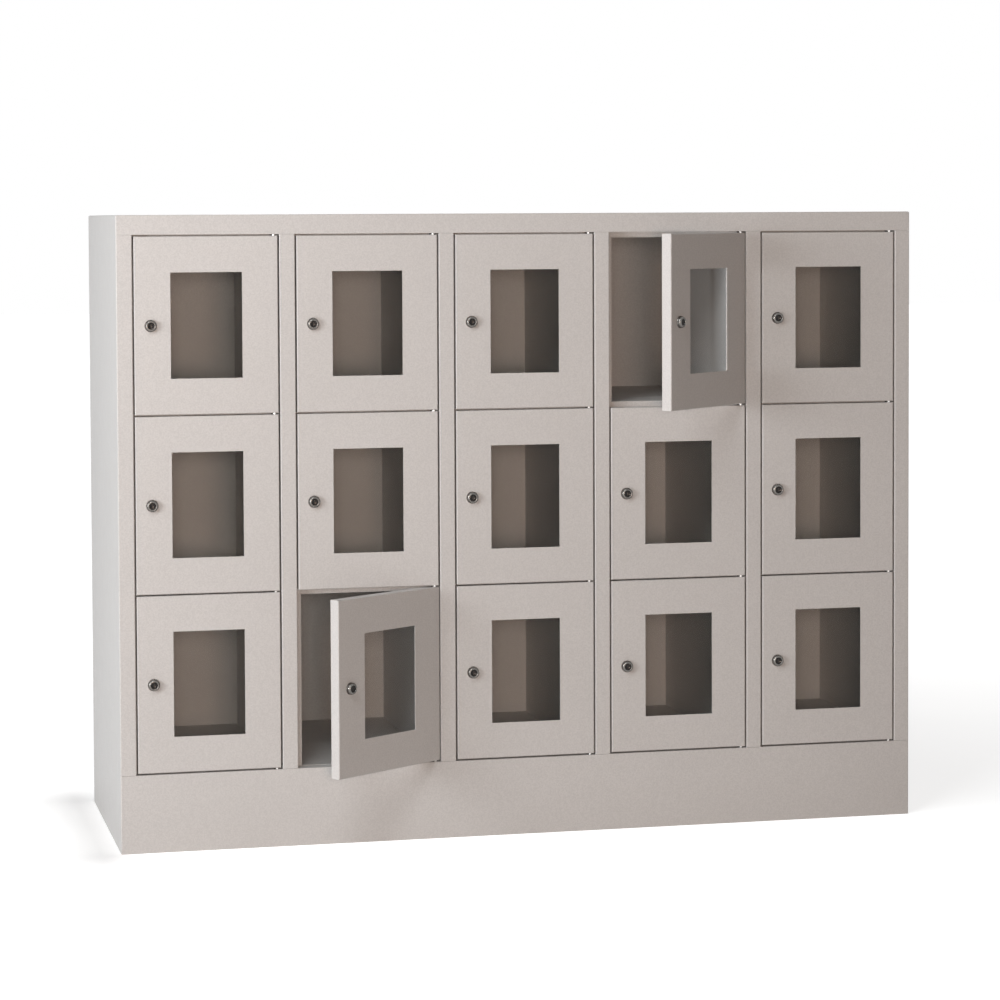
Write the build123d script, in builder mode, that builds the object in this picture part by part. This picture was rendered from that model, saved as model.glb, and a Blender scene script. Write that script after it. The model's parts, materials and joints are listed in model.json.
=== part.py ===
from build123d import *
import os

os.makedirs("parts", exist_ok=True)

# Compartment locker of folded sheet steel: five columns of three compartments on a closed plinth.
# Every compartment has its own pan-shaped door with a clear window and a cam lock. The doors of a
# column turn on one hinge rod, held by lugs in the gaps between them.
# +X runs to the right, the doors face -Y and +Z is up. The origin lies on the floor, under the
# middle of the body. Lengths are in millimetres, angles in degrees.

# Compartments
columns = 5
rows = 3

# Sheet steel and fits
sheet = 1.0
running_clearance = 0.05
seat_clearance = 0.3
overrun = 5.0

# Body and its front frame
body_depth = 500.0
stile_face = 29.5
pillar_face = 29.0
rail_face = 36.0
plinth_height = 144.0
corner_bend = 2.0
frame_edge = 1.2
lip_width = 10.5
rail_lip = 10.5
end_return = 14.0
plinth_top_flange = 36.0
plinth_foot_flange = 25.0
side_flange = 20.0
rear_flange = 12.0
brace_flange = 30.0
roof_inset = 2.0
wall_hole_radius = 4.5
wall_hole_drop = 50.0

# Shelves
shelf_fold = 18.0
shelf_nose = 0.8

# Doors, and how far two of them stand open, by column and row counted from the lower left
door_width = 265.0
door_height = 326.0
door_depth = 20.0
door_gap = 3.0
door_rear_gap = 3.0
door_edge = 1.2
door_rear_lip = 12.0
open_angles = {(3, 2): 41.0, (1, 0): 34.0}

# Windows
window_side_margin = 66.5
window_end_margin = 66.0
pane_thickness = 3.0
pane_lap = 8.0
pane_play = 0.3
glazing_lap = 4.0

# Hinges
hinge_inset = 7.0
hinge_setback = 6.0
rod_radius = 2.5
lug_setback = 5.0
lug_margin = 3.0

# Cam locks
lock_inset = 30.0
head_radius = 10.5
head_top_radius = 8.5
head_height = 7.5
head_recess_radius = 6.5
head_recess_depth = 2.5
barrel_width = 16.0
barrel_rear_gap = 0.2
clip_width = 24.0
clip_length = 26.0
clip_thickness = 1.5
clip_bridge = 4.0
plug_radius = 6.2
plug_thickness = 1.0
round_facets = 16
key_slot_width = 1.6
key_slot_length = 8.0
key_slot_depth = 0.6
spindle_width = 5.0
spindle_play = 0.15
cam_reach = 30.0
cam_width = 14.0
cam_corner = 3.5
cam_thickness = 2.0
cam_lip_clearance = 0.7
cam_screw_flats = 10.0
cam_screw_height = 3.0

# Places that follow from the sizes
column_pitch = door_width + 2 * door_gap + pillar_face
row_pitch = door_height + door_gap
body_width = columns * column_pitch - pillar_face + 2 * stile_face
rail_bottom = plinth_height + door_gap + rows * row_pitch
body_height = rail_bottom + rail_face
roof_bottom = body_height - sheet
floor_top = plinth_height + sheet
outer_x = body_width / 2
inner_x = outer_x - sheet
front = -body_depth / 2
rear = body_depth / 2
panel_front = rear - 2 * sheet
rebate = front + door_depth + door_rear_gap
rebate_rear = rebate + sheet
hinge_y = front + hinge_setback
lug_thickness = door_gap - 2 * seat_clearance
floor_front = rebate_rear + sheet
tongue_front = front + sheet + seat_clearance
tongue_foot = rail_bottom + sheet + seat_clearance
tongue_top = roof_bottom - sheet - seat_clearance


def door_left(column):
    return stile_face + door_gap - outer_x + column * column_pitch


def door_bottom(row):
    return plinth_height + door_gap + row * row_pitch


def gap_middle(level):
    # level 0 is the gap under the lowest door, level rows the gap above the highest
    return plinth_height + door_gap / 2 + level * row_pitch


def hinge_x(column):
    return door_left(column) + door_width - hinge_inset


def pillar_left(column):
    # left edge of the pillar, or of the last stile, to the right of this column's door
    return door_left(column) + door_width + door_gap


def web_left(column):
    return pillar_left(column) - lip_width


def opening_left(column):
    return door_left(column) - door_gap + lip_width


def wall_left(column):
    return -inner_x if column == 0 else web_left(column - 1) + sheet


def wall_right(column):
    return inner_x if column == columns - 1 else web_left(column)


def cut_block(low, high):
    # takes a box, from its lowest to its highest corner, out of the piece being made
    middle = [(a + b) / 2 for a, b in zip(low, high)]
    with Locations(tuple(middle)):
        Box(*(b - a for a, b in zip(low, high)), mode=Mode.SUBTRACT)


def save(shape, name):
    shape.label = name
    export_step(shape, f"parts/{name}.step")


# Side panels: one sheet each, folded at the front into the stile and its rebate lip
with BuildPart() as side_panel:
    with BuildSketch(Plane.XY):
        with BuildLine():
            Polyline(
                (sheet / 2 + rear_flange - outer_x, rear - sheet / 2),
                (sheet / 2 - outer_x, rear - sheet / 2),
                (sheet / 2 - outer_x, front + sheet / 2),
                (stile_face - sheet / 2 - outer_x, front + sheet / 2),
                (stile_face - sheet / 2 - outer_x, rebate + sheet / 2),
                (stile_face + lip_width - outer_x, rebate + sheet / 2),
            )
        trace(line_width=sheet)
    extrude(amount=roof_bottom)
    front_edges = side_panel.edges().filter_by(Axis.Z).group_by(Axis.Y)[0].sort_by(Axis.X)
    fillet(front_edges[0], radius=corner_bend)
    front_edges = side_panel.edges().filter_by(Axis.Z).group_by(Axis.Y)[0].sort_by(Axis.X)
    chamfer(front_edges[-1], length=frame_edge)
    # foot and roof flanges, turned inwards behind those of the plinth and the rail
    for flange_bottom in (0, roof_bottom - sheet):
        flange_front = front + plinth_foot_flange + seat_clearance
        flange_rear = panel_front - seat_clearance
        with BuildSketch(Plane.XY.offset(flange_bottom)):
            with Locations((side_flange / 2 - inner_x, (flange_front + flange_rear) / 2)):
                Rectangle(side_flange, flange_rear - flange_front)
        extrude(amount=sheet)
    # notches for the plinth below and the top rail above, whose ends lap round the corner
    fold_x = stile_face + lip_width + overrun - outer_x
    for low_z, high_z in (
        (-overrun, plinth_height + seat_clearance),
        (rail_bottom - seat_clearance, body_height),
    ):
        cut_block(
            (-outer_x - overrun, front - overrun, low_z),
            (-inner_x, front + end_return + seat_clearance, high_z),
        )
        cut_block(
            (-inner_x, front - overrun, low_z),
            (fold_x, rebate_rear + seat_clearance, high_z),
        )
    cut_block(
        (-inner_x, rebate - seat_clearance, rail_bottom - rail_lip - seat_clearance),
        (fold_x, rebate_rear + seat_clearance, body_height),
    )
save(side_panel.part, "side_panel_left")

with BuildPart() as side_panel_right:
    mirror(side_panel.part, about=Plane.YZ)
save(side_panel_right.part, "side_panel_right")

# Partitions: the web of each folds into the pillar between two doors, a rebate lip on both sides
for column in range(columns - 1):
    web_x = web_left(column) + sheet / 2
    pillar_right = pillar_left(column) + pillar_face
    with BuildPart() as partition:
        with BuildSketch(Plane.XY.offset(plinth_height + seat_clearance)):
            with BuildLine():
                Polyline(
                    (web_x, panel_front),
                    (web_x, rebate + sheet / 2),
                    (pillar_left(column) + sheet / 2, rebate + sheet / 2),
                    (pillar_left(column) + sheet / 2, front + sheet / 2),
                    (pillar_right - sheet / 2, front + sheet / 2),
                    (pillar_right - sheet / 2, rebate + sheet / 2),
                    (pillar_right + lip_width, rebate + sheet / 2),
                )
            trace(line_width=sheet)
        extrude(amount=roof_bottom - plinth_height - seat_clearance)
        chamfer(partition.edges().filter_by(Axis.Z).group_by(Axis.Y)[0], length=frame_edge)
        # the web stands on the floor panel, while the pillar reaches down to the plinth
        cut_block(
            (web_left(column) - overrun, floor_front - seat_clearance, plinth_height - overrun),
            (pillar_left(column), rear, floor_top),
        )
        # the pillar ends under the top rail, and the lips under the rail's own lip
        cut_block(
            (web_left(column) - overrun, front - overrun, rail_bottom - seat_clearance),
            (pillar_right + lip_width + overrun, rebate_rear + seat_clearance, body_height),
        )
        cut_block(
            (
                web_left(column) - overrun,
                rebate - seat_clearance,
                rail_bottom - rail_lip - seat_clearance,
            ),
            (pillar_right + lip_width + overrun, rebate_rear + seat_clearance, body_height),
        )
        # a tongue of the web fills the rail's channel, which would else join the compartments
        with BuildSketch(Plane.YZ.offset(web_left(column))):
            with Locations(((tongue_front + floor_front) / 2, (tongue_foot + tongue_top) / 2)):
                Rectangle(floor_front - tongue_front, tongue_top - tongue_foot)
        extrude(amount=sheet)
    save(partition.part, f"partition_{column + 1}")

# Top rail: a channel with a lip behind the door tops, its ends lapped round the corners
with BuildPart() as top_rail:
    with BuildSketch(Plane.YZ):
        with BuildLine():
            Polyline(
                (rebate + sheet / 2, rail_bottom - rail_lip),
                (rebate + sheet / 2, rail_bottom + sheet / 2),
                (front + sheet / 2, rail_bottom + sheet / 2),
                (front + sheet / 2, roof_bottom - sheet / 2),
                (rebate_rear, roof_bottom - sheet / 2),
            )
        trace(line_width=sheet)
    extrude(amount=inner_x, both=True)
    with BuildSketch(Plane.XY.offset(rail_bottom)):
        with BuildLine():
            Polyline(
                (sheet / 2 - outer_x, front + end_return),
                (sheet / 2 - outer_x, front + sheet / 2),
                (outer_x - sheet / 2, front + sheet / 2),
                (outer_x - sheet / 2, front + end_return),
            )
        trace(line_width=sheet)
    extrude(amount=roof_bottom - rail_bottom)
    fillet(top_rail.edges().filter_by(Axis.Z).group_by(Axis.Y)[0], radius=corner_bend)
save(top_rail.part, "top_rail")

# Plinth front: a channel with a foot flange and a top flange that carries the floor panel
with BuildPart() as plinth_front:
    with BuildSketch(Plane.YZ):
        with BuildLine():
            Polyline(
                (front + plinth_foot_flange, sheet / 2),
                (front + sheet / 2, sheet / 2),
                (front + sheet / 2, plinth_height - sheet / 2),
                (front + plinth_top_flange, plinth_height - sheet / 2),
            )
        trace(line_width=sheet)
    extrude(amount=inner_x, both=True)
    with BuildSketch(Plane.XY):
        with BuildLine():
            Polyline(
                (sheet / 2 - outer_x, front + end_return),
                (sheet / 2 - outer_x, front + sheet / 2),
                (outer_x - sheet / 2, front + sheet / 2),
                (outer_x - sheet / 2, front + end_return),
            )
        trace(line_width=sheet)
    extrude(amount=plinth_height)
    fillet(plinth_front.edges().filter_by(Axis.Z).group_by(Axis.Y)[0], radius=corner_bend)
save(plinth_front.part, "plinth_front")

# Plinth brace: a channel on edge under the middle of the floor panel
brace_front = front + plinth_top_flange + seat_clearance
brace_rear = panel_front - sheet - seat_clearance
with BuildPart() as plinth_brace:
    with BuildSketch(Plane.XZ.offset(-brace_front)):
        with BuildLine():
            Polyline(
                (brace_flange / 2, sheet / 2),
                (sheet / 2 - brace_flange / 2, sheet / 2),
                (sheet / 2 - brace_flange / 2, plinth_height - sheet / 2),
                (brace_flange / 2, plinth_height - sheet / 2),
            )
        trace(line_width=sheet)
    extrude(amount=brace_front - brace_rear)
save(plinth_brace.part, "plinth_brace")

# Floor panel: lies on the plinth, with its ends and rear turned down against the walls
with BuildPart() as floor_panel:
    with BuildSketch(Plane.XY.offset(plinth_height)):
        with Locations((0, (floor_front + panel_front) / 2)):
            Rectangle(2 * inner_x, panel_front - floor_front)
    extrude(amount=sheet)
    with BuildSketch(Plane.XY.offset(plinth_height)):
        with BuildLine():
            Polyline(
                (sheet / 2 - inner_x, brace_front),
                (sheet / 2 - inner_x, panel_front - sheet / 2),
                (inner_x - sheet / 2, panel_front - sheet / 2),
                (inner_x - sheet / 2, brace_front),
            )
        trace(line_width=sheet)
    extrude(amount=-side_flange)
save(floor_panel.part, "floor_panel")

# Rear panel: a flat sheet held between the side panels' rear flanges and the partitions
wall_hole_x = (wall_left(columns - 1) + wall_right(columns - 1)) / 2
with BuildPart() as rear_panel:
    with BuildSketch(Plane.XZ.offset(-panel_front)):
        with Locations((0, roof_bottom / 2)):
            Rectangle(2 * (inner_x - seat_clearance), roof_bottom)
        with Locations(
            (-wall_hole_x, body_height - wall_hole_drop),
            (wall_hole_x, body_height - wall_hole_drop),
        ):
            Circle(wall_hole_radius, mode=Mode.SUBTRACT)
    extrude(amount=-sheet)
save(rear_panel.part, "rear_panel")

# Top panel: lies on the flanges of the side panels and the rail, set in a little from their edges
with BuildPart() as top_panel:
    with BuildSketch(Plane.XY.offset(roof_bottom)):
        Rectangle(2 * (outer_x - roof_inset), body_depth - 2 * roof_inset)
    extrude(amount=sheet)
save(top_panel.part, "top_panel")

# Shelves: trays turned upside down, whose front edge shows between the rebate lips
for level in range(1, rows):
    shelf_top = gap_middle(level) + shelf_fold / 2
    with BuildPart() as shelves:
        for column in range(columns):
            shelf_front = rebate_rear + seat_clearance
            shelf_rear = panel_front - seat_clearance
            with BuildSketch(Plane.XY.offset(shelf_top)) as outline:
                with Locations(
                    (
                        (wall_left(column) + wall_right(column)) / 2,
                        (shelf_front + shelf_rear) / 2,
                    )
                ):
                    Rectangle(
                        wall_right(column) - wall_left(column), shelf_rear - shelf_front
                    )
                with Locations(
                    (
                        (opening_left(column) + web_left(column)) / 2,
                        (rebate + shelf_front) / 2,
                    )
                ):
                    Rectangle(web_left(column) - opening_left(column), shelf_front - rebate)
            extrude(amount=-shelf_fold)
            with BuildSketch(Plane.XY.offset(shelf_top - sheet)):
                offset(outline.sketch, amount=-sheet, kind=Kind.INTERSECTION)
            extrude(amount=-shelf_fold, mode=Mode.SUBTRACT)
        nose = shelves.edges().filter_by(Axis.X).group_by(Axis.Y)[0].group_by(Axis.Z)[-1]
        chamfer(nose, length=shelf_nose)
    save(shelves.part, f"shelves_level_{level}")

# Hinges: lugs welded to the pillars and the right stile, and a rod in the notches of each column's
# lugs. The rods stand on the plinth and reach up to the rail.
lug_left = -rod_radius - lug_margin
lug_front = lug_setback - hinge_setback
lug_rear = rod_radius + lug_margin
notch = rod_radius + running_clearance
with BuildPart() as hinges:
    for column in range(columns):
        lug_right = pillar_left(column) - hinge_x(column)
        for level in range(rows + 1):
            lug_foot = gap_middle(level) - lug_thickness / 2
            with BuildSketch(Plane((hinge_x(column), hinge_y, lug_foot))):
                with BuildLine():
                    Polyline(
                        (lug_left, lug_front),
                        (-notch, lug_front),
                        (-notch, notch),
                        (notch, notch),
                        (notch, lug_front),
                        (lug_right, lug_front),
                        (lug_right, lug_rear),
                        (lug_left, lug_rear),
                        close=True,
                    )
                make_face()
            extrude(amount=lug_thickness)
        with BuildSketch(Plane.XY.offset(plinth_height)):
            with Locations((hinge_x(column), hinge_y)):
                Circle(rod_radius)
        extrude(amount=rail_bottom - seat_clearance - plinth_height)
save(hinges.part, "hinges")

# Everything on a door is drawn closed, with the hinge axis at X = Y = 0 and the door's foot at Z = 0
door_middle_x = hinge_inset - door_width / 2
door_middle_z = door_height / 2
lock_x = hinge_inset - door_width + lock_inset
window_width = door_width - 2 * window_side_margin
window_height = door_height - 2 * window_end_margin
pane_width = window_width + 2 * pane_lap
pane_height = window_height + 2 * pane_lap
door_face = Plane.XZ.offset(hinge_setback)
cam_front = door_depth + door_rear_gap + sheet + cam_lip_clearance


# Door leaf: a folded pan with turned-in rear edges and a glazing channel round its window
with BuildPart() as leaf:
    with BuildSketch(door_face):
        with Locations((door_middle_x, door_middle_z)):
            Rectangle(door_width, door_height)
    extrude(amount=-door_depth)
    chamfer(leaf.faces().sort_by(Axis.Y)[0].edges(), length=door_edge)
    # the hollow of the pan, then the opening between its rear edges
    with BuildSketch(door_face.offset(-sheet)):
        with Locations((door_middle_x, door_middle_z)):
            Rectangle(door_width - 2 * sheet, door_height - 2 * sheet)
    extrude(amount=-(door_depth - 2 * sheet), mode=Mode.SUBTRACT)
    with BuildSketch(door_face.offset(-door_depth / 2)):
        with Locations((door_middle_x, door_middle_z)):
            Rectangle(door_width - 2 * door_rear_lip, door_height - 2 * door_rear_lip)
    extrude(amount=-door_depth, mode=Mode.SUBTRACT)
    # glazing channel
    pocket_depth = pane_thickness + pane_play
    with BuildSketch(door_face.offset(-sheet)):
        with Locations((door_middle_x, door_middle_z)):
            Rectangle(
                pane_width + 2 * (pane_play + sheet), pane_height + 2 * (pane_play + sheet)
            )
    extrude(amount=-(pocket_depth + sheet))
    with BuildSketch(door_face.offset(-sheet)):
        with Locations((door_middle_x, door_middle_z)):
            Rectangle(pane_width + 2 * pane_play, pane_height + 2 * pane_play)
    extrude(amount=-pocket_depth, mode=Mode.SUBTRACT)
    with BuildSketch(door_face.offset(-sheet)):
        with Locations((door_middle_x, door_middle_z)):
            Rectangle(window_width + 2 * glazing_lap, window_height + 2 * glazing_lap)
    extrude(amount=-door_depth, mode=Mode.SUBTRACT)
    # window, lock hole and holes for the hinge rod
    with BuildSketch(door_face):
        with Locations((door_middle_x, door_middle_z)):
            Rectangle(window_width, window_height)
    extrude(amount=-sheet, mode=Mode.SUBTRACT)
    with BuildSketch(door_face):
        with Locations((lock_x, door_middle_z)):
            Rectangle(
                barrel_width + 2 * running_clearance, barrel_width + 2 * running_clearance
            )
    extrude(amount=-sheet, mode=Mode.SUBTRACT)
    with BuildSketch(Plane.XY):
        Rectangle(2 * notch, 2 * notch)
    extrude(amount=door_height, mode=Mode.SUBTRACT)

# Window pane: clear sheet, free in its channel
with BuildPart() as pane:
    with BuildSketch(door_face.offset(-sheet)):
        with Locations((door_middle_x, door_middle_z)):
            Rectangle(pane_width, pane_height)
    extrude(amount=-pane_thickness)

# Lock housing: a raised round head with a recess for the plug, on a square barrel whose bore leaves
# the spindle room to turn
bore_width = spindle_width * 2 ** 0.5 + 2 * spindle_play
barrel_length = cam_front - barrel_rear_gap
plug_seat = head_height - head_recess_depth
with BuildPart() as lock_housing:
    with BuildSketch(Plane.XY.offset(door_middle_z)):
        with BuildLine():
            Polyline(
                (lock_x, -hinge_setback),
                (lock_x + head_radius, -hinge_setback),
                (lock_x + head_top_radius, -hinge_setback - head_height),
                (lock_x, -hinge_setback - head_height),
                close=True,
            )
        make_face()
    revolve(axis=Axis((lock_x, 0, door_middle_z), (0, 1, 0)))
    with BuildSketch(door_face):
        with Locations((lock_x, door_middle_z)):
            Rectangle(barrel_width, barrel_width)
    extrude(amount=-barrel_length)
    with BuildSketch(door_face.offset(head_height)):
        with Locations((lock_x, door_middle_z)):
            RegularPolygon(head_recess_radius, round_facets)
    extrude(amount=-head_recess_depth, mode=Mode.SUBTRACT)
    with BuildSketch(door_face.offset(plug_seat)):
        with Locations((lock_x, door_middle_z)):
            Rectangle(bore_width, bore_width)
    extrude(amount=-(plug_seat + barrel_length), mode=Mode.SUBTRACT)

# Lock clip: a fork of sheet steel, pushed over the barrel from the side behind the door sheet
slot_end = lock_x + barrel_width / 2 + running_clearance
with BuildPart() as lock_clip:
    with BuildSketch(door_face.offset(-sheet)):
        with Locations((slot_end + clip_bridge - clip_width / 2, door_middle_z)):
            Rectangle(clip_width, clip_length)
        with Locations((slot_end - clip_width / 2, door_middle_z)):
            Rectangle(clip_width, barrel_width + 2 * running_clearance, mode=Mode.SUBTRACT)
    extrude(amount=-clip_thickness)

# Lock plug: a round face with a key slot, in one piece with the square spindle behind it
with BuildPart() as lock_plug:
    with BuildSketch(door_face.offset(plug_seat)):
        with Locations((lock_x, door_middle_z)):
            RegularPolygon(plug_radius, round_facets)
    extrude(amount=plug_thickness)
    with BuildSketch(door_face.offset(plug_seat)):
        with Locations((lock_x, door_middle_z)):
            Rectangle(spindle_width, spindle_width)
    extrude(amount=-(plug_seat + cam_front + cam_thickness))
    with BuildSketch(door_face.offset(plug_seat + plug_thickness)):
        with Locations((lock_x, door_middle_z)):
            Rectangle(key_slot_width, key_slot_length)
    extrude(amount=-key_slot_depth, mode=Mode.SUBTRACT)

# Cam: hangs down when unlocked, and turns behind the frame's lip to lock
with BuildPart() as cam:
    with BuildSketch(door_face.offset(-cam_front)) as cam_outline:
        with Locations((lock_x, door_middle_z + (cam_width / 2 - cam_reach) / 2)):
            Rectangle(cam_width, cam_width / 2 + cam_reach)
        chamfer(cam_outline.vertices().group_by(Axis.Z)[0], length=cam_corner)
        with Locations((lock_x, door_middle_z)):
            Rectangle(
                spindle_width + 2 * running_clearance,
                spindle_width + 2 * running_clearance,
                mode=Mode.SUBTRACT,
            )
    extrude(amount=-cam_thickness)

# Cam screw: a hexagonal head over the end of the spindle
with BuildPart() as cam_screw:
    with BuildSketch(door_face.offset(-(cam_front + cam_thickness))):
        with Locations((lock_x, door_middle_z)):
            RegularPolygon(cam_screw_flats / 2, 6, major_radius=False)
    extrude(amount=-cam_screw_height)

# The doors and their locks, placed on their hinge axes. Names count rows from the top.
for column in range(columns):
    for row in range(rows):
        place = Location(
            (hinge_x(column), hinge_y, door_bottom(row)),
            (0, 0, open_angles.get((column, row), 0)),
        )
        address = f"c{column + 1}r{rows - row}"
        door = Compound([leaf.part, lock_housing.part, lock_clip.part])
        save(door.moved(place), f"door_{address}")
        save(pane.part.moved(place), f"window_{address}")
        lock_core = Compound([lock_plug.part, cam.part, cam_screw.part])
        save(lock_core.moved(place), f"lock_core_{address}")
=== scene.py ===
# %% [markdown]
# Compartment locker: fifteen small steel lockers in one low body, five across and three high. The
# shapes come from the CAD part. This lesson dresses them: paint, clear windows, nickel locks, hinge
# rods, rounded folds, floor, lamps and camera.

# %% Load the locker
import json
import math

import bpy
from mathutils import Matrix, Vector


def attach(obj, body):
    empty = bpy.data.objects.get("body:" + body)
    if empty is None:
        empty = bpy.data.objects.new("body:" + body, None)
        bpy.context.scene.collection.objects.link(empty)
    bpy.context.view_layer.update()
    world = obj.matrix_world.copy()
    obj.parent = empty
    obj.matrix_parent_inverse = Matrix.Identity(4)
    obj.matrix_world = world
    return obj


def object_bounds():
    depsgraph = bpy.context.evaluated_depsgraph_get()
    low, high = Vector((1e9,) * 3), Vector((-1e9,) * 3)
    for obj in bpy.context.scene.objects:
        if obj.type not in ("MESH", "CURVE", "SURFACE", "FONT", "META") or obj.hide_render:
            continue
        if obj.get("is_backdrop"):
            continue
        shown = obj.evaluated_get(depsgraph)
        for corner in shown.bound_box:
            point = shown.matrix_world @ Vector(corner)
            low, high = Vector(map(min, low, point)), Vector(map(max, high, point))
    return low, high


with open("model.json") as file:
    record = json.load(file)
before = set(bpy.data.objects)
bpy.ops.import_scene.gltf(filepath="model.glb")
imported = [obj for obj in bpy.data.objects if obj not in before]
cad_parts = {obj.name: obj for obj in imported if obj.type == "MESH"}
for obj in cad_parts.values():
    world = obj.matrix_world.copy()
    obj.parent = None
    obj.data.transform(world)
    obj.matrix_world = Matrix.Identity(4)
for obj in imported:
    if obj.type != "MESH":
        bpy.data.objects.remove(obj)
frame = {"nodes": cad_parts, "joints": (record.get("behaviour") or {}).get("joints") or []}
size_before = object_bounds()
nodes = frame["nodes"]
width, depth, height = size_before[1] - size_before[0]
print(f"{len(nodes)} pieces, {width:.3f} x {depth:.3f} x {height:.3f} m")

# %% [markdown]
# Every door turns on its own hinge. The joints say where each axis stands and how far the door is
# already open at rest: the low end of its range is that angle with a minus sign.
# With these two numbers a thing can be made once, as if the door were shut with its hinge at the
# origin, and then be moved to any door with one matrix.

# %% Where the doors are
doors = {}
for joint in frame["joints"]:
    if joint["name"].startswith("door_hinge_"):
        rest_angle = -math.radians(joint["range_deg"][0])
        place = Matrix.Translation(joint["pos_m"]) @ Matrix.Rotation(rest_angle, 4, "Z")
        doors[joint["child"].removeprefix("leaf_")] = place
just_ajar = math.radians(0.5)
opened = [name for name, place in doors.items() if abs(place.to_euler().z) > just_ajar]
print(f"{len(doors)} doors, ajar: {opened}")

# %% [markdown]
# The camera stands to the left of the locker, about as high as its top, and looks slightly down. A
# long lens keeps the five columns nearly equal in width.
# It could be aimed with a Track To constraint, but then the frame would move with its target. Three
# angles, in the order of a tripod head (pan, tilt, roll), hold it still, and the lens shift slides
# the picture without turning the camera, so that uprights stay upright.

# %% Camera
camera_data = bpy.data.cameras.new("camera")
camera = bpy.data.objects.new("camera", camera_data)
bpy.context.scene.collection.objects.link(camera)
camera_data.sensor_width = 36.0
camera_data.lens = 104.11
camera_data.shift_x = 0.06
camera_data.shift_y = -0.1605
tripod = Matrix.Translation((-1.32415, -5.50297, 1.16276))
pan, tilt, roll = -0.21756, -0.04215, 0.005
head = Matrix.Rotation(pan, 4, "Z") @ Matrix.Rotation(tilt, 4, "X") @ Matrix.Rotation(roll, 4, "Y")
# a camera looks along its own -Z, while the tripod head looks along +Y
camera.matrix_world = tripod @ head @ Matrix.Rotation(math.pi / 2, 4, "X")
bpy.context.scene.camera = camera
bpy.context.scene.view_settings.view_transform = "Standard"
print(f"camera {camera.location.length:.2f} m from the origin, lens {camera_data.lens:.0f} mm")

# %% [markdown]
# Materials here are small node trees. All of them start in the same way, with a Principled shader
# and the object's own coordinates, which for these pieces are metres. Patterns then keep their real
# size and travel with a door when it opens.
# A helper that adds a node, sets its sockets and wires its inputs in one call keeps each recipe
# short enough to read.

# %% Helpers that build a node tree
def start_material(name, sockets):
    material = bpy.data.materials.new(name)
    material.use_nodes = True
    shader = material.node_tree.nodes["Principled BSDF"]
    for socket, value in sockets.items():
        shader.inputs[socket].default_value = value
    where = material.node_tree.nodes.new("ShaderNodeTexCoord").outputs["Object"]
    return material, shader, where


def add_node(material, kind, settings, wires):
    node = material.node_tree.nodes.new("ShaderNode" + kind)
    # a setting is a property of the node or else the value of one of its sockets
    for name, value in settings.items():
        if hasattr(node, name):
            setattr(node, name, value)
        else:
            node.inputs[name].default_value = value
    for name, output in wires.items():
        material.node_tree.links.new(node.inputs[name], output)
    return node


def connect(material, output, socket):
    material.node_tree.links.new(output, socket)


print("node helpers ready")

# %% [markdown]
# A finish is mostly made of a few moves: a noise pattern, a part of its range stretched to another
# range, two colours blended by a share, a sum, and a pattern used as the height of small bumps.
# A pattern's scale is the number of its blotches in a metre, so 430 gives a grain a little over two
# millimetres wide. Its values run from 0 to 1 but mostly stay near the middle, and stretching only
# that part gives clear light and dark.

# %% Helpers for patterns and colours
noise_middle = (0.3, 0.7)


def pattern(material, where, scale, detail):
    settings = {"Scale": scale, "Detail": detail}
    return add_node(material, "TexNoise", settings, {"Vector": where}).outputs["Fac"]


def spread(material, value, between, onto):
    ends = {"From Min": between[0], "From Max": between[1], "To Min": onto[0], "To Max": onto[1]}
    return add_node(material, "MapRange", ends, {"Value": value}).outputs["Result"]


def shade_of(colour, factor):
    return [channel * factor for channel in colour]


def blend_colours(material, share, colour_a, colour_b):
    mix = add_node(material, "Mix", {"data_type": "RGBA"}, {"Factor": share})
    # the Mix node has one set of sockets for each kind of value: 6 and 7 are its two colours
    for socket, colour in ((mix.inputs[6], colour_a), (mix.inputs[7], colour_b)):
        if isinstance(colour, bpy.types.NodeSocket):
            connect(material, colour, socket)
        else:
            socket.default_value = (*colour, 1)
    return mix.outputs[2]


def calculate(material, operation, first, second):
    node = add_node(material, "Math", {"operation": operation}, {})
    for socket, value in zip(node.inputs, (first, second)):
        if isinstance(value, bpy.types.NodeSocket):
            connect(material, value, socket)
        else:
            socket.default_value = value
    return node.outputs["Value"]


def roughen(material, shader, height_pattern, height):
    settings = {"Strength": 1.0, "Distance": height}
    bump = add_node(material, "Bump", settings, {"Height": height_pattern})
    connect(material, bump.outputs["Normal"], shader.inputs["Normal"])


print("pattern helpers ready")

# %% [markdown]
# Powder coat is plastic powder, baked on the sheet. It has an even light grey colour, a satin gloss
# and an orange peel, low bumps about two millimetres apart. The colour comes first.
# A flat grey would look like plaster. So its colour is mixed from four patterns: broad clouds that
# change it by a few percent, a grain of about two millimetres, a finer speckle, and a darkening near
# the floor, which is painted shade of the plinth's lower part together with streaks of dirt where
# shoes and mops touch it.
# The first three differ only in their numbers, so they are rows of a table, and one loop blends each
# over the ones before it.

# %% Colour of the powder coat
paint_grey = (0.60, 0.585, 0.57)
first_shade = 1.02
# blotches in a metre, detail, the part of the noise that counts, its share of the coat, its shade
coat_layers = {
    "clouds": (2.6, 3.0, noise_middle, (0.0, 1.0), 1.055),
    "grain": (430.0, 1.0, (0.34, 0.66), (0.0, 0.5), 0.84),
    "speckle": (1400.0, 1.0, (0.62, 0.72), (0.0, 0.1), 0.75),
}
# painted shade with dirt: the coat turns darker and browner in its lowest ten centimetres, standing in
# for less light near the floor
dirt_and_shade_brown = (0.30, 0.27, 0.24)
dirt_and_shade_height, most_dirt_and_shade, streak_scale = 0.10, 0.16, 7.0


# painted shade and dirt: darker towards the floor, broken up by streaks
def low_dirt_and_shade(material, where):
    above_floor = add_node(material, "SeparateXYZ", {}, {"Vector": where}).outputs["Z"]
    low_down = spread(material, above_floor, (0.0, dirt_and_shade_height), (most_dirt_and_shade, 0.0))
    streaks = pattern(material, where, streak_scale, detail=4.0)
    return calculate(material, "MULTIPLY", low_down, streaks)


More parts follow.
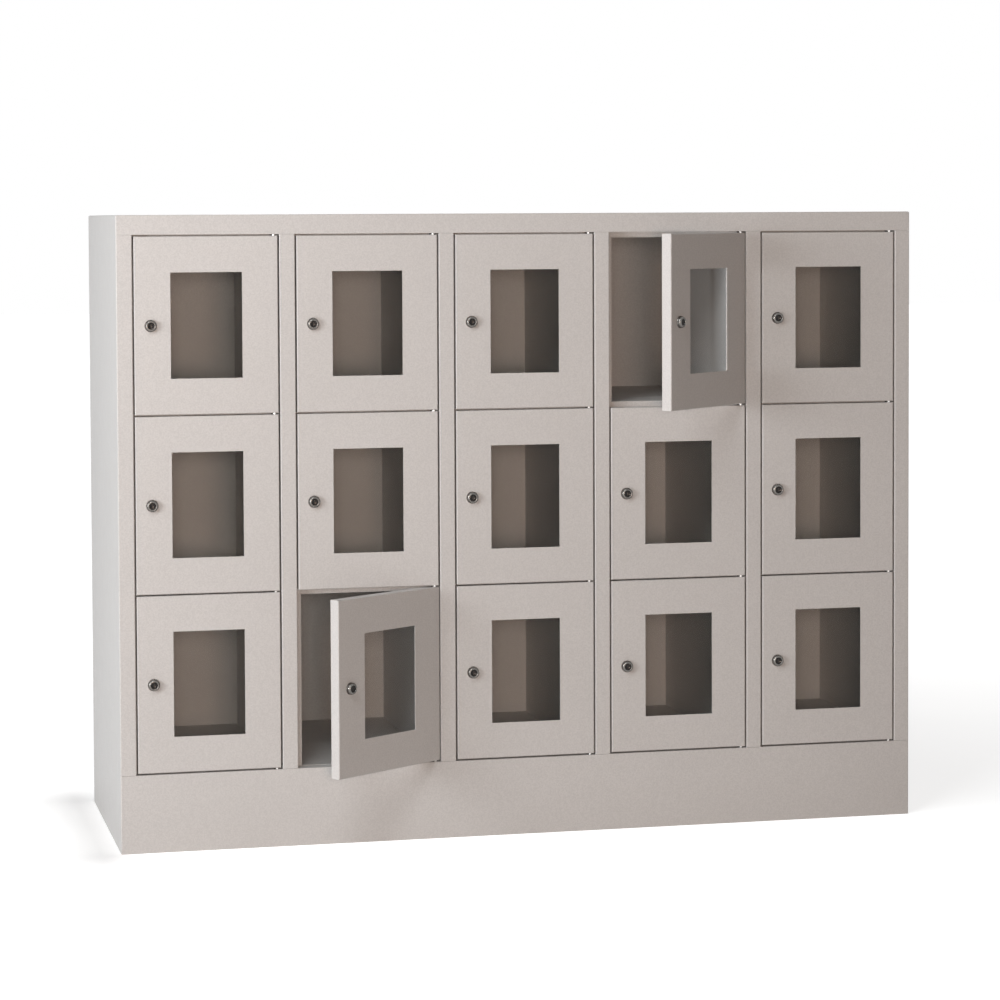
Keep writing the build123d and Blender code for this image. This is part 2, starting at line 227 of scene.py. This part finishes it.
def coat_colour(material, where, colour):
    coat = shade_of(colour, first_shade)
    for scale, detail, between, share, shade in coat_layers.values():
        layer = spread(material, pattern(material, where, scale, detail), between, share)
        coat = blend_colours(material, layer, coat, shade_of(colour, shade))
    return blend_colours(material, low_dirt_and_shade(material, where), coat, dirt_and_shade_brown)


print(f"{len(coat_layers)} layers over the paint colour {paint_grey}")

# %% [markdown]
# The coat is more than its colour. Patches about as wide as a thumb change the gloss, and the orange
# peel is a bump, only a twentieth of a millimetre high. The doors are a little glossier than the body.
# A clear coat layer in the shader would be another way to a satin look, but powder coat is one layer,
# and a lowered specular level gives its soft shine.

# %% Powder coat
patch_scale, peel_scale, peel_height = 38.0, 560.0, 0.00005


def powder_coat(name, colour, roughness):
    sockets = {"Roughness": roughness, "Specular IOR Level": 0.3}
    material, shader, where = start_material(name, sockets)
    connect(material, coat_colour(material, where, colour), shader.inputs["Base Color"])
    patches = pattern(material, where, patch_scale, detail=3.0)
    gloss = spread(material, patches, noise_middle, (roughness - 0.03, roughness + 0.05))
    connect(material, gloss, shader.inputs["Roughness"])
    roughen(material, shader, pattern(material, where, peel_scale, detail=1.5), peel_height)
    return material


body_paint = powder_coat("body_paint", paint_grey, 0.46)
door_paint = powder_coat("door_paint", paint_grey, 0.42)
print("paint nodes", len(body_paint.node_tree.nodes))

# %% [markdown]
# The windows are flat sheets of clear acrylic, 3 mm thick. A Principled shader with full
# transmission bends and mirrors light as the real sheet does.
# One thing needs help: a path tracer finds hardly any lamp light through a refracting sheet, so the
# compartments would stay black. For shadow rays, and for light on its way between walls, the sheet
# is therefore plain see-through with a slight tint, which is what thin clear sheet does anyway.
# Real acrylic bends light more than the 1.15 written here. With its true 1.49 each pane would
# mirror much more of the white world and hide the compartment behind it. Faint smears change its
# gloss, and a slight waviness unsettles what it mirrors.

# %% Window sheet
smear_scale, wave_scale, wave_height = 24.0, 9.0, 0.00004


def clear_sheet(name, tint):
    sockets = {
        "Base Color": (*tint, 1),
        "Roughness": 0.03,
        "IOR": 1.15,
        "Transmission Weight": 1.0,
    }
    material, shader, where = start_material(name, sockets)
    smears = pattern(material, where, smear_scale, detail=5.0)
    gloss = spread(material, smears, (0.4, 0.75), (0.01, 0.09))
    connect(material, gloss, shader.inputs["Roughness"])
    roughen(material, shader, pattern(material, where, wave_scale, detail=0.0), wave_height)
    ray = add_node(material, "LightPath", {}, {}).outputs
    lamp_ray = calculate(material, "MAXIMUM", ray["Is Shadow Ray"], ray["Is Diffuse Ray"])
    open_way = add_node(material, "BsdfTransparent", {"Color": (*tint, 1)}, {})
    ways = {0: lamp_ray, 1: shader.outputs["BSDF"], 2: open_way.outputs["BSDF"]}
    either = add_node(material, "MixShader", {}, ways)
    output = material.node_tree.nodes["Material Output"]
    connect(material, either.outputs["Shader"], output.inputs["Surface"])
    return material


window_clear = clear_sheet("window_clear", (0.97, 0.975, 0.97))
print("window sheet ready")

# %% [markdown]
# Lock heads, plugs and cams are zinc castings with a dark nickel plate, the hinge rods drawn steel
# with a thin zinc coat. Both are metal: Metallic is 1 and the base colour is the tint of the mirror
# image. A dark tint keeps the locks dark even though all they mirror is a white room.
# What tells the two apart is the gloss. Nickel is nearly polished, with a few rubbed patches from
# keys and fingers. Zinc is duller and has fine lines along the rod, from a stretched pattern.

# %% Nickel and zinc
line_scale, line_height = 2600.0, 0.000008


def plated_metal(name, colour, roughness, stretch, rubbed_scale):
    sockets = {"Base Color": (*colour, 1), "Metallic": 1.0, "Roughness": roughness}
    material, shader, where = start_material(name, sockets)
    rubbed = pattern(material, where, rubbed_scale, detail=3.0)
    gloss = spread(material, rubbed, noise_middle, (roughness - 0.05, roughness + 0.10))
    connect(material, gloss, shader.inputs["Roughness"])
    worn = spread(material, rubbed, (0.35, 0.8), (0.0, 0.35))
    tone = blend_colours(material, worn, colour, shade_of(colour, 0.72))
    connect(material, tone, shader.inputs["Base Color"])
    stretched = add_node(material, "Mapping", {"Scale": stretch}, {"Vector": where})
    lines = pattern(material, stretched.outputs["Vector"], line_scale, detail=2.0)
    roughen(material, shader, lines, line_height)
    return material


no_stretch, along_the_rod = (1, 1, 1), (1, 1, 0.02)
small_patches, broad_patches = 260.0, 60.0
lock_nickel = plated_metal("lock_nickel", (0.17, 0.162, 0.152), 0.26, no_stretch, small_patches)
plug_nickel = plated_metal("plug_nickel", (0.028, 0.026, 0.025), 0.24, no_stretch, small_patches)
hinge_zinc = plated_metal("hinge_zinc", (0.82, 0.81, 0.79), 0.36, along_the_rod, broad_patches)
# painted shade: the lugs are dark to stand for the shadow in the gap between two doors
lug_painted_shade = plated_metal("lug_painted_shade", (0.10, 0.097, 0.092), 0.50, no_stretch, broad_patches)
print("metals ready")

# %% [markdown]
# Each CAD piece now gets its finish. The names say what a piece is, so the first word of the name is
# enough to choose the material.

# %% Dress the CAD pieces
finishes = {
    "door": ("door_paint", door_paint),
    "window": ("window_clear", window_clear),
    "lock": ("lock_nickel", plug_nickel),
    "hinges": ("hinge_steel", hinge_zinc),
}
for name, piece in nodes.items():
    slot, material = finishes.get(name.split("_")[0], ("body_paint", body_paint))
    piece.data.materials.clear()
    piece.data.materials.append(material)
print({kind: sum(n.startswith(kind) for n in nodes) for kind in finishes})

# %% [markdown]
# The hinge piece holds rods and lugs in one mesh. Rods shine. The lugs get a dark colour, which is
# painted shade standing for the shadow in the gap between two doors.
# One mesh can carry several materials, each face with the number of its own. A face belongs to a rod
# when its middle lies within the rod's radius of a hinge axis, and the joints say where those are.

# %% Two finishes on the hinges
rod_radius_and_a_hair = 0.00252
# a door's axis is upright, a lock's lies level
axes = {tuple(joint["pos_m"][:2]) for joint in frame["joints"] if joint["axis"][2]}
hinge_mesh = nodes["hinges"].data
# the lugs' dark finish is painted shade of the gap
hinge_mesh.materials.append(lug_painted_shade)
for face in hinge_mesh.polygons:
    middle = nodes["hinges"].matrix_world @ face.center
    distance = min(math.hypot(middle.x - x, middle.y - y) for x, y in axes)
    face.material_index = 0 if distance < rod_radius_and_a_hair else 1
print(sum(face.material_index for face in hinge_mesh.polygons), "lug faces")

# %% [markdown]
# A sharp edge on bent sheet gives itself away, because a real fold always shows a thin bright line
# where it catches the light. The CAD folds have small flats there.
# A Bevel modifier rounds those and every other sharp edge by about a third of a millimetre. It needs
# joined faces, so a Weld modifier comes first, and Weighted Normal keeps the broad faces flat.

# %% Round the folds
def round_edges(piece, radius, segments, smallest_angle):
    weld = piece.modifiers.new("join faces", "WELD")
    weld.merge_threshold = 0.000002
    bevel = piece.modifiers.new("rounded edges", "BEVEL")
    bevel.width = radius
    bevel.segments = segments
    bevel.limit_method = "ANGLE"
    bevel.angle_limit = math.radians(smallest_angle)
    flat = piece.modifiers.new("flat faces", "WEIGHTED_NORMAL")
    flat.keep_sharp = True


rounded = [n for n in nodes if not n.startswith(("window", "hinges"))]
for name in rounded:
    round_edges(nodes[name], radius=0.00035, segments=2, smallest_angle=28)
print(f"{len(rounded)} pieces rounded")

# %% [markdown]
# The head of each lock is a small round knob with a dished plug in its front, where the key goes in.
# The CAD part has both in plain steps. A knob could be carved from a sphere, but a turned part is
# easiest made as on a lathe: half of its section is drawn once and swept round the axis.
# The section is a closed loop, so the ring it makes is a solid body.

# %% A lathe for small round parts
def metres(x, y, z):
    return (x / 1000, y / 1000, z / 1000)


def turned_ring(name, section, steps):
    count = len(section)
    points = []
    for step in range(steps):
        angle = 2 * math.pi * step / steps
        for radius, forward in section:
            points.append(metres(radius * math.cos(angle), -forward, radius * math.sin(angle)))
    faces = []
    for step in range(steps):
        here, following = step * count, (step + 1) % steps * count
        for i in range(count):
            j = (i + 1) % count
            faces.append((here + i, here + j, following + j, following + i))
    mesh = bpy.data.meshes.new(name)
    mesh.from_pydata(points, [], faces)
    return mesh


def smooth_except_corners(mesh, material, angle):
    mesh.polygons.foreach_set("use_smooth", [True] * len(mesh.polygons))
    mesh.set_sharp_from_angle(angle=math.radians(angle))
    mesh.materials.clear()
    mesh.materials.append(material)
    mesh.update()


print("lathe ready")

# %% [markdown]
# The knob stands over the CAD head and follows the door. Its front edge is domed, so that it always
# mirrors some lamp, as a plated knob does. The dish lies on the CAD plug and turns with it.
# Each pair below is a radius and a height over the door sheet, in millimetres.

# %% Knob and dish
knob_section = [(11.3, 0.0), (11.3, 0.5), (10.95, 0.9), (10.95, 3.4), (10.75, 4.9), (10.3, 6.1)]
knob_section += [(9.6, 7.1), (8.8, 7.8), (7.9, 8.2), (7.1, 8.25), (6.6, 7.9), (6.32, 7.2)]
knob_section += [(6.32, 6.1), (8.0, 5.0), (9.8, 0.0)]
dish_section = [(6.12, 5.9), (6.12, 7.0), (5.9, 7.25), (5.5, 7.35), (5.0, 7.2), (3.4, 6.1)]
dish_section += [(0.2, 6.05), (0.2, 5.9)]
knob = turned_ring("lock_knob", knob_section, steps=48)
dish = turned_ring("plug_dish", dish_section, steps=48)
smooth_except_corners(knob, lock_nickel, angle=50)
print(f"knob of {len(knob.polygons)} faces, dish of {len(dish.polygons)}")

# %% [markdown]
# The key slot is a hole in the real plug, deep and nearly black. The CAD plug has a shallow recess
# there, so the dish needs a slot over it.
# A Boolean modifier on each of the fifteen dishes would need a cutter object that stays in the scene.
# Here one dish is cut once, the result is kept as a plain mesh, and both helpers are thrown away.

# %% Tools to cut the key slot
def block_mesh(name, low, high):
    corners = [
        metres(x, y, z)
        for x in (low[0], high[0])
        for y in (low[1], high[1])
        for z in (low[2], high[2])
    ]
    faces = [(0, 1, 3, 2), (4, 6, 7, 5), (0, 4, 5, 1), (2, 3, 7, 6), (0, 2, 6, 4), (1, 5, 7, 3)]
    mesh = bpy.data.meshes.new(name)
    mesh.from_pydata(corners, [], faces)
    return mesh


def carve(name, mesh, cutter_mesh):
    blank = bpy.data.objects.new("blank", mesh)
    cutter = bpy.data.objects.new("cutter", cutter_mesh)
    for helper in (blank, cutter):
        bpy.context.scene.collection.objects.link(helper)
    cut = blank.modifiers.new("cut", "BOOLEAN")
    cut.operation = "DIFFERENCE"
    cut.object = cutter
    evaluated = blank.evaluated_get(bpy.context.evaluated_depsgraph_get())
    result = bpy.data.meshes.new_from_object(evaluated)
    result.name = name
    for helper in (blank, cutter):
        bpy.data.objects.remove(helper)
    return result


print("cutter ready")

# %% [markdown]
# A dark wafer fills the foot of the slot. Its near-black colour is painted shade that reads as the
# depth of the hole from any side. It is a hair narrower than the slot, so that no two faces lie in one
# plane, which would flicker. Lighter specks vary its tone.
# Both blocks are given by their lowest and highest corners in millimetres. The slot is 1.5 wide and
# 7.6 long.

# %% Key slot
slot_speck_scale, slot_speck_height = 900.0, 0.00002


# painted shade: a near-black colour that stands for the depth of the key slot, with lighter specks
def slot_shade_metal(name, colour):
    material, shader, where = start_material(name, {"Metallic": 0.6, "Roughness": 0.5})
    specks = pattern(material, where, slot_speck_scale, detail=3.0)
    speck_share = spread(material, specks, (0.35, 0.7), (0.0, 1.0))
    tone = blend_colours(material, speck_share, colour, shade_of(colour, 2.4))
    connect(material, tone, shader.inputs["Base Color"])
    roughen(material, shader, speck_share, slot_speck_height)
    return material


slot_cutter = block_mesh("cut", (-0.75, -9.0, -3.8), (0.75, -4.0, 3.8))
plug_dish = carve("plug_dish_slotted", dish, slot_cutter)
smooth_except_corners(plug_dish, plug_nickel, angle=40)
key_slot = block_mesh("key_slot", (-0.74, -5.9, -3.9), (0.74, -5.45, 3.9))
# the wafer's dark colour is painted shade of the deep slot
key_slot.materials.append(slot_shade_metal("key_slot_dark", (0.030, 0.026, 0.022)))
print(f"slotted dish of {len(plug_dish.polygons)} faces")

# %% [markdown]
# Knob, dish and slot are each one mesh that all fifteen locks share. A copy costs nothing but its
# place, and a change to the mesh reaches all of them.

# %% Put the lock parts on their doors
lock_across, sheet_front = -0.228, -0.006


def place_on_door(name, mesh, address, body):
    piece = bpy.data.objects.new(f"{name}_{address}", mesh)
    bpy.context.scene.collection.objects.link(piece)
    piece.matrix_world = doors[address] @ Matrix.Translation((lock_across, sheet_front, 0.0))
    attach(piece, f"{body}_{address}")
    return piece


for address in doors:
    place_on_door("lock_knob", knob, address, "leaf")
    place_on_door("plug_dish", plug_dish, address, "core")
    place_on_door("key_slot", key_slot, address, "core")
print(f"{len(doors)} locks dressed")

# %% [markdown]
# The floor is plain and pale, and it keeps the locker's soft shadow. It is one large flat sheet that
# ends far behind the picture's edge. A mark on it says that it is no part of the object, so the
# measuring leaves it out.
# Even a plain floor isn't quite even: a broad mottle changes its gloss.

# %% Floor
reach, mottle_scale = 30.0, 3.0
floor_corners = [(-reach, -reach, 0), (reach, -reach, 0), (reach, reach, 0), (-reach, reach, 0)]
floor_mesh = bpy.data.meshes.new("floor")
floor_mesh.from_pydata(floor_corners, [], [(0, 1, 2, 3)])
floor = bpy.data.objects.new("floor", floor_mesh)
bpy.context.scene.collection.objects.link(floor)
floor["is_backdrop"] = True
floor_paint, floor_shader, floor_where = start_material(
    "floor_pale", {"Base Color": (0.78, 0.775, 0.77, 1), "Roughness": 0.9}
)
mottle = pattern(floor_paint, floor_where, mottle_scale, detail=4.0)
floor_gloss = spread(floor_paint, mottle, noise_middle, (0.85, 0.95))
connect(floor_paint, floor_gloss, floor_shader.inputs["Roughness"])
floor_mesh.materials.append(floor_paint)
print(f"floor {2 * reach:.0f} m wide")

# %% [markdown]
# The picture's background is white, and the floor has to meet it without a line. More lamp light
# would whiten the floor but burn out the paint. So the floor glows a little, and only for rays that
# come from the camera, a mirror image or a window: seen_directly() picks those.
# Ray Depth adds a limit. A ray that has passed a window and is mirrored by a wall behind it has
# turned several times. It no longer sees white, or the insides would shine like glazed tiles.

# %% What counts as seen directly
turns_before_mirror_image, turns_before_view_through = 2.5, 4.5


def seen_directly(material):
    ray = add_node(material, "LightPath", {}, {}).outputs
    early = calculate(material, "LESS_THAN", ray["Ray Depth"], turns_before_mirror_image)
    mirrored = calculate(material, "MULTIPLY", ray["Is Glossy Ray"], early)
    soon = calculate(material, "LESS_THAN", ray["Ray Depth"], turns_before_view_through)
    through = calculate(material, "MULTIPLY", ray["Is Transmission Ray"], soon)
    seen = calculate(material, "MAXIMUM", ray["Is Camera Ray"], mirrored)
    return calculate(material, "MAXIMUM", seen, through)


print("ray test ready")

# %% [markdown]
# The glow is weaker near the locker, where shadows have to show, and grows with the distance until the
# floor is as white as the world behind it. Close to the left side panel it drops further, which paints
# a shadow under that side.
# The distance to the body's outline comes from a trick that works for any rectangle round the
# origin: fold the floor's coordinates to one quarter, take half the rectangle's size away, and cut
# off what is negative. What is left is the way out of the rectangle.

# %% Glow of the floor
half_width, half_depth = width / 2, size_before[1][1]
weak_until, full_from = 1.0, 2.6
weak_glow, full_glow = 0.78, 1.0
shade_reach, shade_strength = 0.16, 0.55
shade_starts_at, shade_full_at = -0.72, -0.80


def floor_vector(operation, wires):
    node = add_node(floor_paint, "VectorMath", {"operation": operation}, wires)
    return node.outputs["Value" if operation == "LENGTH" else "Vector"]


from_middle = floor_vector("LENGTH", {0: floor_where})
glow = spread(floor_paint, from_middle, (weak_until, full_from), (weak_glow, full_glow))
half_size = add_node(floor_paint, "CombineXYZ", {"X": half_width, "Y": half_depth}, {})
folded = floor_vector("ABSOLUTE", {0: floor_where})
beyond = floor_vector("SUBTRACT", {0: folded, 1: half_size.outputs["Vector"]})
way_out = floor_vector("LENGTH", {0: floor_vector("MAXIMUM", {0: beyond})})
# painted shadow: less glow close to the left side panel
close = spread(floor_paint, way_out, (0.0, shade_reach), (shade_strength, 0.0))
across = add_node(floor_paint, "SeparateXYZ", {}, {"Vector": floor_where}).outputs["X"]
on_the_left = spread(floor_paint, across, (shade_full_at, shade_starts_at), (1.0, 0.0))
shade = calculate(floor_paint, "MULTIPLY", close, on_the_left)
glow = calculate(floor_paint, "SUBTRACT", glow, shade)
shown_glow = calculate(floor_paint, "MULTIPLY", glow, seen_directly(floor_paint))
floor_shader.inputs["Emission Color"].default_value = (1, 1, 1, 1)
connect(floor_paint, shown_glow, floor_shader.inputs["Emission Strength"])
print(f"shade within {shade_reach} m of a body {2 * half_width:.2f} m wide")

# %% [markdown]
# The world gives two things: a white background, and a little light from everywhere that fills the
# shadows. The same ray test separates them. Rays that see the world directly meet white at
# strength 1. All other rays meet a dim warm grey.

# %% World
world = bpy.data.worlds.new("world")
bpy.context.scene.world = world
world.use_nodes = True
backdrop = world.node_tree.nodes["Background"]
backdrop.inputs["Color"].default_value = (1, 1, 1, 1)
room = add_node(world, "Background", {"Color": (1.0, 0.93, 0.88, 1), "Strength": 0.01}, {})
choices = {0: seen_directly(world), 1: room.outputs[0], 2: backdrop.outputs[0]}
choose = add_node(world, "MixShader", {}, choices)
connect(world, choose.outputs["Shader"], world.node_tree.nodes["World Output"].inputs["Surface"])
print("world ready")

# %% [markdown]
# The light comes from five soft boxes. Two stand to the left, one of them high, so the left side and
# the left columns are bright and the light falls off to the right. One hangs over the front.
# Two small warm ones stand near the camera, low enough to reach through the windows to the rear
# walls of the compartments. They also fill the open doors.
# Each lamp is a row of a table: where it stands, what it looks at, its size, its power and colour.

# %% Lamps
lamps = {
    "left": ((-4.0, -2.35, 1.1), (0.0, -0.2, 0.8), 1.2, 80, (0.97, 1.0, 1.04)),
    "left_high": ((-4.6, -1.3, 2.2), (0.0, 0.0, 0.8), 1.5, 43, (1.02, 1.0, 0.98)),
    "above": ((-1.6, -2.4, 3.2), (0.0, -0.2, 0.8), 1.2, 40, (0.97, 1.0, 1.02)),
    "beside_camera": ((-1.3, -5.7, 1.25), (0.0, -0.2, 0.6), 0.6, 44, (1.12, 1.0, 0.9)),
    "middle": ((-0.75, -5.5, 0.95), (0.0, -0.2, 0.6), 0.6, 27, (1.38, 0.93, 0.72)),
}
for name, (position, target, size, power, colour) in lamps.items():
    lamp_data = bpy.data.lights.new("lamp_" + name, "AREA")
    lamp_data.size = size
    lamp_data.energy = power
    lamp_data.color = colour
    lamp = bpy.data.objects.new("lamp_" + name, lamp_data)
    bpy.context.scene.collection.objects.link(lamp)
    lamp.location = position
    direction = Vector(target) - Vector(position)
    lamp.rotation_euler = direction.to_track_quat("-Z", "Y").to_euler()
    lamp.visible_camera = False
print(f"{len(lamps)} lamps")

# %% [markdown]
# Last, the object is measured again.

# %% Measure and finish
size_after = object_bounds()
spans = [high - low for low, high in (size_before, size_after)]
print("grown by", [round(value, 5) for value in spans[1] - spans[0]])
